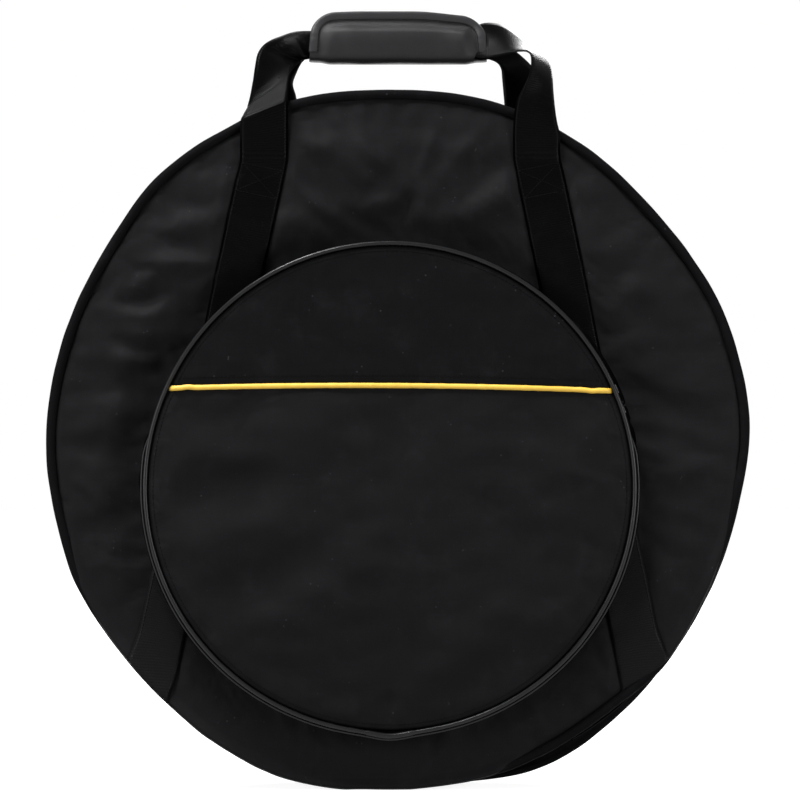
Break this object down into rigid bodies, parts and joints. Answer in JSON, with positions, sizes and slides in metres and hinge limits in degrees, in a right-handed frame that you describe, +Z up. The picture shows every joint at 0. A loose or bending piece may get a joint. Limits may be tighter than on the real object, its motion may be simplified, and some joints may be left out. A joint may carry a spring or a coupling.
{
  "type": "cymbal bag",
  "caption": "Round padded cymbal bag with a zipped gusset, a round zipped front pocket, webbing straps and twin handles joined by a wrap-around grip.",
  "frame": {"origin": "on the floor, in the middle of the bag's width and depth", "axes": "+X to the viewer's right in the picture, +Y towards the rear panel, +Z up; the front pocket faces -Y"},
  "size_m": [0.591, 0.1052, 0.655],
  "materials": {
    "shell_cloth": "black woven nylon with a faint sheen",
    "webbing": "black ribbed webbing",
    "foam": "grey closed-cell padding",
    "lining_cloth": "smooth dark lining",
    "black_piping": "glossy black piping",
    "yellow_piping": "glossy yellow piping",
    "zip_tape": "black woven tape",
    "zip_coil": "black coil",
    "slider_metal": "black-coated metal",
    "hook_and_loop": "black hook-and-loop tape"
  },
  "bodies": {
    "rear_shell": {"rear_panel": "shell_cloth", "rear_panel_foam": "foam", "rear_panel_lining": "lining_cloth", "rear_edge_piping": "shell_cloth", "rear_gusset": "shell_cloth", "rear_gusset_foam": "foam", "rear_gusset_lining": "lining_cloth", "rear_zip_tape": "zip_tape", "rear_zip_coil": "zip_coil", "rear_left_strap": "webbing", "rear_right_strap": "webbing", "lower_gusset": "shell_cloth", "lower_gusset_foam": "foam", "lower_gusset_lining": "lining_cloth", "front_lower_panel": "shell_cloth", "front_lower_panel_foam": "foam", "front_lower_panel_lining": "lining_cloth", "front_lower_piping": "shell_cloth"},
    "front_cover": {"front_panel": "shell_cloth", "front_panel_foam": "foam", "front_panel_lining": "lining_cloth", "front_edge_piping": "shell_cloth", "front_gusset": "shell_cloth", "front_gusset_foam": "foam", "front_gusset_lining": "lining_cloth", "front_zip_tape": "zip_tape", "front_zip_coil": "zip_coil", "front_left_strap": "webbing", "front_right_strap": "webbing", "pocket_lower_face": "shell_cloth", "pocket_lower_piping": "black_piping", "pocket_lower_gusset": "shell_cloth", "pocket_rear_gusset": "shell_cloth", "pocket_rear_zip_tape": "zip_tape", "pocket_rear_zip_coil": "zip_coil"},
    "pocket_flap": {"pocket_middle_face": "shell_cloth", "pocket_upper_face": "shell_cloth", "pocket_accent_piping": "yellow_piping", "pocket_upper_piping": "black_piping", "pocket_front_gusset": "shell_cloth", "pocket_front_zip_tape": "zip_tape", "pocket_front_zip_coil": "zip_coil"},
    "left_slider_body": {"left_slider": "slider_metal"},
    "left_pull_body": {"left_pull": "slider_metal"},
    "right_slider_body": {"right_slider": "slider_metal"},
    "right_pull_body": {"right_pull": "slider_metal"},
    "pocket_slider_body": {"pocket_slider": "slider_metal"},
    "pocket_pull_body": {"pocket_pull": "slider_metal"},
    "front_handle_body": {"front_handle": "webbing"},
    "rear_handle_body": {"rear_handle": "webbing", "grip_back_pad": "shell_cloth", "grip_back_binding": "webbing", "grip_loop_strip": "hook_and_loop"},
    "grip_flap_body": {"grip_flap": "shell_cloth", "grip_flap_binding": "webbing", "grip_hook_strip": "hook_and_loop"}
  },
  "joints": [
    {"name": "cover_fold", "type": "hinge", "parent": "rear_shell", "child": "front_cover", "pos_m": [0, -0.01801, 0.04], "axis": [1, 0, 0], "range_deg": [0, 90], "deforming": ["grip_flap", "grip_flap_binding"]},
    {"name": "left_slider_travel", "type": "hinge", "parent": "rear_shell", "child": "left_slider_body", "pos_m": [0, 0.01629, 0.29047], "axis": [0, -1, 0], "range_deg": [0, 145]},
    {"name": "right_slider_travel", "type": "hinge", "parent": "rear_shell", "child": "right_slider_body", "pos_m": [0, 0.01629, 0.29047], "axis": [0, 1, 0], "range_deg": [0, 145]},
    {"name": "left_pull_tilt", "type": "hinge", "parent": "left_slider_body", "child": "left_pull_body", "pos_m": [-0.01172, 0.01629, 0.58407], "axis": [0, 1, 0], "range_deg": [0, 120]},
    {"name": "right_pull_tilt", "type": "hinge", "parent": "right_slider_body", "child": "right_pull_body", "pos_m": [0.01172, 0.01629, 0.58407], "axis": [0, -1, 0], "range_deg": [0, 120]},
    {"name": "pocket_fold", "type": "hinge", "parent": "front_cover", "child": "pocket_flap", "pos_m": [0, -0.05251, 0.31197], "axis": [1, 0, 0], "range_deg": [0, 120]},
    {"name": "pocket_slider_travel", "type": "hinge", "parent": "front_cover", "child": "pocket_slider_body", "pos_m": [-0.0067, -0.02781, 0.25447], "axis": [0, -1, 0], "range_deg": [0, 136]},
    {"name": "pocket_pull_tilt", "type": "hinge", "parent": "pocket_slider_body", "child": "pocket_pull_body", "pos_m": [0.1825, -0.02781, 0.33455], "axis": [0, -1, 0], "range_deg": [0, 120]},
    {"name": "front_handle_swing", "type": "hinge", "parent": "front_cover", "child": "front_handle_body", "pos_m": [0, -0.02001, 0.52897], "axis": [1, 0, 0], "range_deg": [0, 145], "deforming": ["grip_flap", "grip_flap_binding"]},
    {"name": "rear_handle_swing", "type": "hinge", "parent": "rear_shell", "child": "rear_handle_body", "pos_m": [0, 0.05259, 0.52897], "axis": [-1, 0, 0], "range_deg": [0, 170], "deforming": ["grip_flap", "grip_flap_binding"]},
    {"name": "grip_flap_fold", "type": "hinge", "parent": "rear_handle_body", "child": "grip_flap_body", "pos_m": [0, 0.02559, 0.61527], "axis": [1, 0, 0], "range_deg": [0, 90], "deforming": ["grip_flap", "grip_flap_binding"]}
  ]
}
